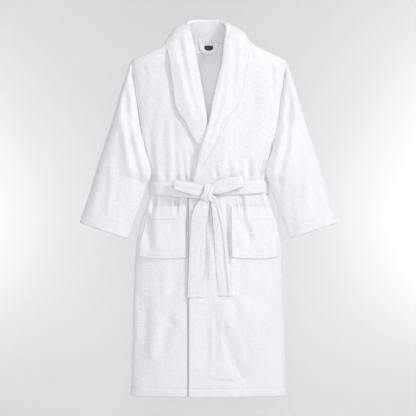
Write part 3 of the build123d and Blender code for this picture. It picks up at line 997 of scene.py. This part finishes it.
def pocket_grid(side, z_low, z_high, extra, patch):
    """A pocket (patch, with a ridge sewn round it and a low edge that sags) or its hem band."""
    height = z_high - z_low
    u, v = np.meshgrid(border_shares(POCKET_WIDTH), border_shares(height))
    sag = (5.0 * (1 - (2 * u - 1) ** 4) - 6.0 * np.exp(-u * 26)) * patch
    z = z_low - sag + v * (height + sag)
    inner, outer = POCKET_INNER(z), POCKET_OUTER(z)
    x = outer + (inner - outer) * u
    low = v * height if patch else np.full(u.shape, FAR)
    d = np.minimum(u, 1 - u) * POCKET_WIDTH
    if patch:
        d = np.minimum(d, low)
    base = left_offset(x, z) if side > 0 else 0.0
    x = x * side
    field = front_folds(x, z) + 0.8 * rumple(x, z) + 0.5 * rumple(x, z, 60)
    gape = 3.0 * ramp(z, -600, POCKET_TOP) * np.sin(math.pi * u)
    ridge = 1.5 * bell(d, 3.4, 2.3) - 1.3 * bell(d, 7.6, 1.6)
    ridge = ridge * (0.35 + 0.65 * bell(low, 0, 14.0)) - 3.4 * bell(d, 0, 2.2)
    points = front_point(x, z, base + field + CLOTH_T + 0.9 + gape + ridge + extra)
    return points if side > 0 else points[:, ::-1]


for side, word in ((1, "left"), (-1, "right")):
    grid = pocket_grid(side, POCKET_LOW, POCKET_TOP, 0.0, True)
    piece(shell(word + "_pocket_cloth", grid, POCKET_T, BODY_TERRY), "robe",
          (word + "_pocket",))
    grid = pocket_grid(side, POCKET_TOP - POCKET_BAND, POCKET_TOP + 0.6, 1.1, False)
    piece(shell(word + "_pocket_hem", grid, BAND_T, BODY_TERRY), "robe",
          (word + "_pocket_band",))


# ---- belt
BELT_T, KNOT_T, TAIL_T = 4.6, 4.4, 5.4
# x and height of the belt's middle line in front, x and half width there
BELT_MIDDLE = ([-190, -110, -30, 0, 22, 110, 190], [-460, -466, -475, -470, -464, -459, -455])
BELT_HALF = ([-190, -60, 0, 60, 190], [22.5, 21, 19, 22, 20.5])
BELT_BACK_HALF = 22.0
BELT_REACH = 190.9 * SIDE
BELT_COLS = (110,), (96,)


def crosswise(inner, count, near_edge):
    """Places across a strip from -1 to 1, with the ones in near_edge repeated at both edges."""
    edge = [-1, *(-v for v in near_edge)]
    return np.concatenate([edge, np.linspace(-inner, inner, count), [-v for v in reversed(edge)]])


def belt_ring():
    px, py, nx, ny = section(WAIST_Z, (BELT_REACH, -BELT_REACH), BELT_COLS[0], -1)
    behind = section(WAIST_Z, (BELT_REACH, -BELT_REACH), BELT_COLS[1], 1)
    in_front = np.concatenate([np.ones(len(px)), np.zeros(len(behind[0]))])
    x, y, nx, ny = [np.concatenate([a, b[::-1]]) for a, b in zip((px, py, nx, ny), behind)]
    overlap = OVERLAP_LIFT * ramp(x, 130, 40) * ramp(x, -75, -55)
    over_edge = 5.0 * bell(x, -50, 24)
    pulled_in = 5.0 * ramp(np.abs(x), 162, 186)
    stand = BELT_T + 2.2 + in_front * (overlap + over_edge - pulled_in)
    middle = np.where(in_front > 0, np.interp(x, *BELT_MIDDLE), WAIST_Z - 2.0 * (x / 190))
    half = np.where(in_front > 0, np.interp(x, *BELT_HALF), BELT_BACK_HALF)
    run = run_along(np.stack([x, y], axis=1))
    crease = 1.3 * (0.5 + 0.5 * lattice(run, run * 0, 60, 50, 301))
    grid = []
    for share in crosswise(0.8, 15, (0.97, 0.9)):
        z = middle + share * half
        soft = 2.0 * (1 - share**4) - crease * bell(share, 0.25, 0.14)
        soft = soft + 1.0 * lattice(run, z, 34, 9, 302) + 0.35 * lattice(run, z, 9, 5, 303)
        lift = stand + soft
        grid.append(np.stack([x + nx * lift, y + ny * lift, z], axis=1))
    return np.array(grid)


piece(shell("belt_round_waist", belt_ring(), BELT_T, BELT_TERRY, wrap=True), "robe",
      ("belt_band",))

# x, y, z of the middle of the band, its half width and its tilt, out along the front and back
# behind
RIGHT_BOW = [
    (-8, -61, -470, 15, 0.10),
    (-30, -66, -468, 18, 0.10),
    (-62, -69, -461, 18, 0.08),
    (-94, -68, -454, 16, 0.05),
    (-110, -65, -451, 15, 0.03),
    (-115, -60, -450, 14.5, 0.0),
    (-110, -55.5, -451, 14.5, 0.0),
    (-90, -54.5, -456, 15, 0.05),
    (-50, -55.5, -465, 15, 0.1),
    (-12, -57, -470, 13, 0.1),
]
LEFT_BOW = [
    (4, -61, -468, 14, -0.10),
    (24, -66, -462, 18, -0.20),
    (52, -69, -453, 21, -0.25),
    (84, -69, -444, 20, -0.25),
    (102, -66, -440, 18, -0.2),
    (110, -61, -439, 17, -0.2),
    (104, -56.5, -441, 17, -0.2),
    (80, -56, -447, 18, -0.2),
    (44, -57, -457, 16, -0.2),
    (8, -57, -467, 13, -0.1),
]
BOW_STEP = 3.2
BOW_CROWN = 1.2


def bow_loop(name, stations, seed, node):
    places = run_along(np.asarray(stations, float))
    at = np.linspace(0, places[-1], max(6, int(places[-1] / BOW_STEP)))
    rows = smooth_rows(stations, places, at)
    line, half, tilt = rows[:, :3], rows[:, 3], rows[:, 4]
    width = np.stack([np.sin(tilt), np.zeros(len(tilt)), np.cos(tilt)], axis=1)
    face = unit(np.cross(unit(np.gradient(line, axis=0)), width))
    face = face if face[2][1] < 0 else -face
    run = run_along(line)
    grid = []
    for s in crosswise(0.78, 15, (0.96, 0.88)):
        lift = BOW_CROWN * (1 - s**4) + 0.8 * lattice(run, run * 0 + s * 22, 26, 9, seed)
        lift = lift + 0.3 * lattice(run, run * 0 + s * 22, 7, 5, seed + 1)
        lift = lift - 1.4 * bell(s, -0.2, 0.16) * ramp(run, 5, 40) * ramp(run, 130, 90)
        grid.append(line + width * (half * s)[:, None] + face * lift[:, None])
    grid = np.array(grid)
    flip = bool((grid_normals(grid)[10, 4] * face[4]).sum() < 0)
    piece(shell(name, grid, BELT_T, BELT_TERRY, flip=flip), "robe", (node,))


bow_loop("right_bow_loop_cloth", RIGHT_BOW, 401, "right_bow_loop")
bow_loop("left_bow_loop_cloth", LEFT_BOW, 402, "left_bow_loop")


def knot_wrap(name, centre, size, tilt, width, seed, bulge=0.0):
    """A turn of the belt round the knot: a closed band, leaning by tilt in the front view."""
    angle = np.linspace(0, 2 * math.pi, 64, endpoint=False)
    cos, sin = np.cos(angle), np.sin(angle)
    grid = []
    for s in crosswise(0.72, 11, (0.95, 0.85)):
        y = centre[1] - (size[0] + 2.0 * (1 - s**4)) * cos
        y = y - 0.8 * lattice(angle * 20, angle * 0 + s * 20, 16, 8, seed)
        y = y + 1.5 * bell(s, 0.15, 0.15) * (cos > 0) * cos
        y = y + 1.0 * np.cos(s * 10.0 + seed + 0.8 * sin) * np.clip(cos, 0, 1)
        x = s * width * (1 - 0.24 * np.cos(angle * 2) ** 2) + bulge * sin
        z = (size[1] + 1.4 * (1 - s**4)) * sin
        px = centre[0] + x * math.cos(tilt) + z * math.sin(tilt)
        pz = centre[2] - x * math.sin(tilt) + z * math.cos(tilt)
        grid.append(np.stack([px, y, pz], axis=1))
    grid = np.array(grid)
    flip = bool(grid_normals(grid, wrap=True)[8, 0][1] > 0)
    return shell(name, grid, KNOT_T, BELT_TERRY, wrap=True, flip=flip)


piece(knot_wrap("belt_knot_turn", (-4, -61, -476), (12.5, 28), 0.30, 17, 501, 1.5), "robe",
      ("belt_knot",))
piece(knot_wrap("belt_knot_tuck", (8, -59, -491), (11, 19), -0.75, 12, 502), "robe")

TAIL_BLEND = ((0, -66 * MM, -504 * MM), (0, -66 * MM, -536 * MM))
TAIL_HEM = 11.0
TAIL_STEP = 3.6
TAIL_SHARES = np.concatenate([[0, 0.02, 0.06], np.linspace(0.11, 0.89, 19), [0.94, 0.98, 1]])
EDGE_BLUR = 3  # rows on either side that an edge's height is averaged over


def tail_edge(knots, z):
    """x of an edge at each height, with its corners rounded."""
    x = np.interp(-z, [-p[1] for p in knots], [p[0] for p in knots])
    count = 2 * EDGE_BLUR + 1
    return np.convolve(np.pad(x, EDGE_BLUR, mode="edge"), np.ones(count) / count, mode="valid")


def tail(side, left_edge, right_edge, y_line, seed, crease_at):
    """A hanging end of the belt between two edges (x, z), down to its hemmed end."""
    z_top = min(left_edge[0][1], right_edge[0][1])
    z_low = (left_edge[-1][1] + right_edge[-1][1]) / 2
    hem = z_low + TAIL_HEM
    z = rows_between(z_low, z_top, TAIL_STEP, (hem,))[::-1]
    left, right = tail_edge(left_edge, z), tail_edge(right_edge, z)
    y = np.interp(-z, [-p[0] for p in y_line], [p[1] for p in y_line])
    grid = []
    for s in TAIL_SHARES:
        across = s * 48 + 0 * z
        lift = 1.5 * (1 - (2 * s - 1) ** 4) + 0.9 * lattice(across, z, 13, 44, seed)
        lift = lift + 0.3 * lattice(across, z, 6, 9, seed + 1)
        lift = lift + crease_at(s, z) + groove(z - hem, 1.5, 0.8)
        slant = (right_edge[-1][1] - left_edge[-1][1]) * (0.5 - s) * ramp(z, z_low + 60, z_low)
        grid.append(np.stack([right + (left - right) * s, y - lift, z + slant], axis=1))
    grid = np.array(grid)
    flip = bool(grid_normals(grid)[10, 20][1] > 0)
    body, name = side + "_belt_tail", side + "_belt_tail_cloth"
    piece(shell(name, grid, TAIL_T, BELT_TERRY, flip=flip), body, (body,), TAIL_BLEND)
    line = grid[:, int(np.argmin(np.abs(z - hem))), :]
    thread = stitches(name + "_stitching", line, np.tile([0, -1.0, 0], (len(line), 1)), lift=0.2)
    piece(thread, body, (), TAIL_BLEND)


def right_crease(s, z):
    """A straight crease, and one that slants across below the knot."""
    straight = 2.0 * bell(s, 0.30, 0.09) * ramp(z, -600, -640) * ramp(z, -790, -740)
    return -straight - 2.5 * bell(s, 0.72 + (z + 505) / 300, 0.09) * ramp(z, -545, -525)


def left_crease(s, z):
    """A ridge, and a crease beside it, all the way down."""
    return (2.2 * bell(s, 0.22, 0.08) - 2.4 * bell(s, 0.36, 0.10) - 1.0 * (s > 0.4)) + 0 * z


tail("right",
     [(-30, -500), (-44, -520), (-55, -550), (-58, -600), (-63, -700), (-68, -813)],
     [(2, -500), (0, -520), (-5, -550), (-11, -620), (-14, -700), (-21, -811)],
     [(-500, -61), (-530, -65.5), (-600, -65), (-700, -64.5), (-820, -65)], 601, right_crease)
tail("left",
     [(4, -500), (9, -520), (13, -560), (18, -620), (22, -700), (32, -808)],
     [(26, -500), (32, -520), (45, -560), (57, -620), (65, -700), (76, -806)],
     [(-500, -60), (-530, -64), (-600, -64.5), (-700, -64), (-820, -64.5)], 602, left_crease)

CARRIER_X, CARRIER_Y, CARRIER_Z = 187.5, -14.0, -429.0
CARRIER_LENGTH, CARRIER_STAND, CARRIER_RADIUS = 52.0, 9.0, 1.5
TUBE_SIDES = 10


def thread_tube(name, path, radius):
    """Round cord along a path of points."""
    tangent = unit(np.gradient(path, axis=0))
    a = unit(np.cross(tangent, [1.0, 0.0, 0.0] if abs(tangent[0][0]) < 0.9 else [0.0, 0.0, 1.0]))
    b = np.cross(tangent, a)
    angle = np.linspace(0, 2 * math.pi, TUBE_SIDES, endpoint=False)[None, :, None]
    arms = a[:, None, :] * np.cos(angle) + b[:, None, :] * np.sin(angle)
    points = (path[:, None, :] + radius * arms).reshape(-1, 3)
    last = len(points) - TUBE_SIDES
    faces = []
    for start in range(0, last, TUBE_SIDES):
        for k in range(TUBE_SIDES):
            i, j = start + k, start + (k + 1) % TUBE_SIDES
            faces.append((i, j, j + TUBE_SIDES, i + TUBE_SIDES))
    faces += [tuple(start + k for k in range(TUBE_SIDES)) for start in (0, last)]
    return make_object(name, points, faces, THREAD)


for side, word in ((1, "left"), (-1, "right")):
    down = np.linspace(0, 1, 26)
    stand = CARRIER_STAND * np.sin(math.pi * down) ** 0.35
    path = np.stack([(CARRIER_X + stand) * side, CARRIER_Y - stand,
                     CARRIER_Z - CARRIER_LENGTH * down], axis=1)
    piece(thread_tube(word + "_carrier_thread", path, CARRIER_RADIUS), "robe",
          (word + "_belt_carrier",))


# ---- neck tape, label, hanging loop
def neck_patch(name, half, z0, z1, stand, thickness, material, step):
    """Flat cloth from -half to half in x on the inside of the back panel, standing off it."""
    xs, zs = np.arange(half, -half - 0.01, -step), np.arange(z0, z1 + 0.01, step)
    x, z = np.meshgrid(xs, zs)
    q = np.minimum(np.abs(x) / half_width(z), 0.999)
    inner_back = half_depth(z) * (1 - q**FLATNESS) ** (1 / FLATNESS) - CLOTH_T - 2.6
    return shell(name, np.stack([x, inner_back - stand, z], axis=-1), thickness, material)


piece(neck_patch("neck_tape_strip", 47, -19, 14, 0.4, 1.0, WHITE_TAPE_LIGHTENED, 2.5), "robe",
      ("neck_tape",))
piece(neck_patch("neck_label_blank", 14, -8, 8, 1.3, 0.7, LABEL_CLOTH, 2.0), "robe",
      ("neck_label",))

LOOP_HALF, LOOP_DROP, LOOP_REACH, LOOP_T = 25.5, 27.0, 6.0, 1.6
LOOP_TOP_Z, LOOP_Y, LOOP_END_Y = 12.0, 29.8, 30.0
LOOP_END_Z = (18.0, 16.0, 14.0)


def hanging_loop():
    """Flat tape that hangs in a U from the neck seam."""
    angle = np.linspace(0, math.pi, 33)
    cos = np.cos(angle)
    grid = []
    for s in np.linspace(-1, 1, 9):
        x = (LOOP_HALF + LOOP_REACH * s) * np.sign(cos) * np.abs(cos) ** 0.8
        z = LOOP_TOP_Z - (LOOP_DROP + LOOP_REACH * s) * np.sin(angle) ** 0.85
        row = np.stack([x, np.full(len(x), LOOP_Y - 0.9 * (1 - s**2)), z], axis=1)
        start = [[x[0], LOOP_END_Y, end_z] for end_z in LOOP_END_Z]
        end = [[x[-1], LOOP_END_Y, end_z] for end_z in reversed(LOOP_END_Z)]
        grid.append(np.concatenate([start, row, end]))
    grid = np.array(grid)
    flip = bool(grid_normals(grid)[4, 18][1] > 0)
    return shell("hanging_loop_tape", grid, LOOP_T, WHITE_TAPE_LIGHTENED, flip=flip)


piece(hanging_loop(), "hang_loop", ("hang_loop",))


# ---- room, light and camera, in metres
SWEEP_START, SWEEP_RADIUS, FLOOR_Z = 0.9, 5.4, -1.4
FLOOR_FRONT, WALL_TOP, ROOM_HALF = -9.0, 8.0, 11.0
PAPER = (0.80, 0.79, 0.82)


def backdrop():
    """Floor that curves up into a wall far behind."""
    turn = np.linspace(0, math.pi / 2, 40)
    wall_y = SWEEP_START + SWEEP_RADIUS
    ys = np.concatenate([[FLOOR_FRONT], SWEEP_START + SWEEP_RADIUS * np.sin(turn), [wall_y]])
    zs = np.concatenate([[FLOOR_Z], FLOOR_Z + SWEEP_RADIUS * (1 - np.cos(turn)), [WALL_TOP]])
    n = len(ys)
    points = [(x, y, z) for x in (-ROOM_HALF, ROOM_HALF) for y, z in zip(ys, zs)]
    faces = [(i, i + 1, n + i + 1, n + i) for i in range(n - 1)]
    paper = Nodes("paper")
    paper.fill(paper.surface, {"Base Color": (*PAPER, 1), "Roughness": 0.9})
    make_object("backdrop", np.array(points) / MM, faces, paper.material)


backdrop()


def lamp(name, place, target, size, power):
    data = bpy.data.lights.new(name, "AREA")
    data.shape, data.size, data.energy = "DISK", size, power
    obj = bpy.data.objects.new(name, data)
    obj.location = place
    obj.rotation_euler = (Vector(target) - Vector(place)).to_track_quat("-Z", "Y").to_euler()
    obj.visible_camera = False
    bpy.context.collection.objects.link(obj)


MIDDLE = (0.0, 0.0, -0.5)
WALL = (0.3, 6.0, -0.3)
lamp("key", (2.5, -1.9, 1.6), MIDDLE, 0.5, 60)
lamp("front", (0.0, -3.9, -0.2), MIDDLE, 0.7, 46)
lamp("fill", (-2.4, -3.0, 0.2), MIDDLE, 2.2, 13)
NECK_GLOW = [(-0.06, 0.008), (-0.13, 0.010), (-0.20, 0.010)]  # light through the thin cloth
for glow_z, power in NECK_GLOW:
    lamp(f"neck_glow_{-glow_z:.2f}", (0.0, -0.018, glow_z), (0.0, 0.04, glow_z), 0.09, power)
lamp("top", (0.3, -0.4, 2.4), MIDDLE, 1.2, 8)
lamp("rear_left", (-2.6, 2.6, 1.2), MIDDLE, 2.0, 12)
lamp("rear_right", (2.6, 2.8, 0.8), MIDDLE, 2.0, 12)
lamp("wall_left", (-3.4, 3.0, -0.2), WALL, 1.5, 90)
lamp("wall_right", (3.4, 3.0, -0.2), WALL, 1.5, 112)

scene = bpy.context.scene
world = bpy.data.worlds.new("studio")
world.use_nodes = True
sky = world.node_tree.nodes["Background"].inputs
sky["Color"].default_value = (0.92, 0.93, 0.95, 1)
sky["Strength"].default_value = 0.42
scene.world = world
scene.view_settings.view_transform = "Standard"
scene.view_settings.look = "None"

VIEW_WIDTH = 1.348  # width of the picture in the plane FRONT_PLANE before the robe's middle
VIEW_CENTRE = (-0.0023, -0.525)
CAMERA_Y = -4.0
FRONT_PLANE = 0.02
camera_data = bpy.data.cameras.new("camera")
camera_data.lens = camera_data.sensor_width * (-CAMERA_Y - FRONT_PLANE) / VIEW_WIDTH
camera = bpy.data.objects.new("camera", camera_data)
camera.location = (VIEW_CENTRE[0], CAMERA_Y, VIEW_CENTRE[1])
camera.rotation_euler = (math.pi / 2, 0, 0)
bpy.context.collection.objects.link(camera)
scene.camera = camera
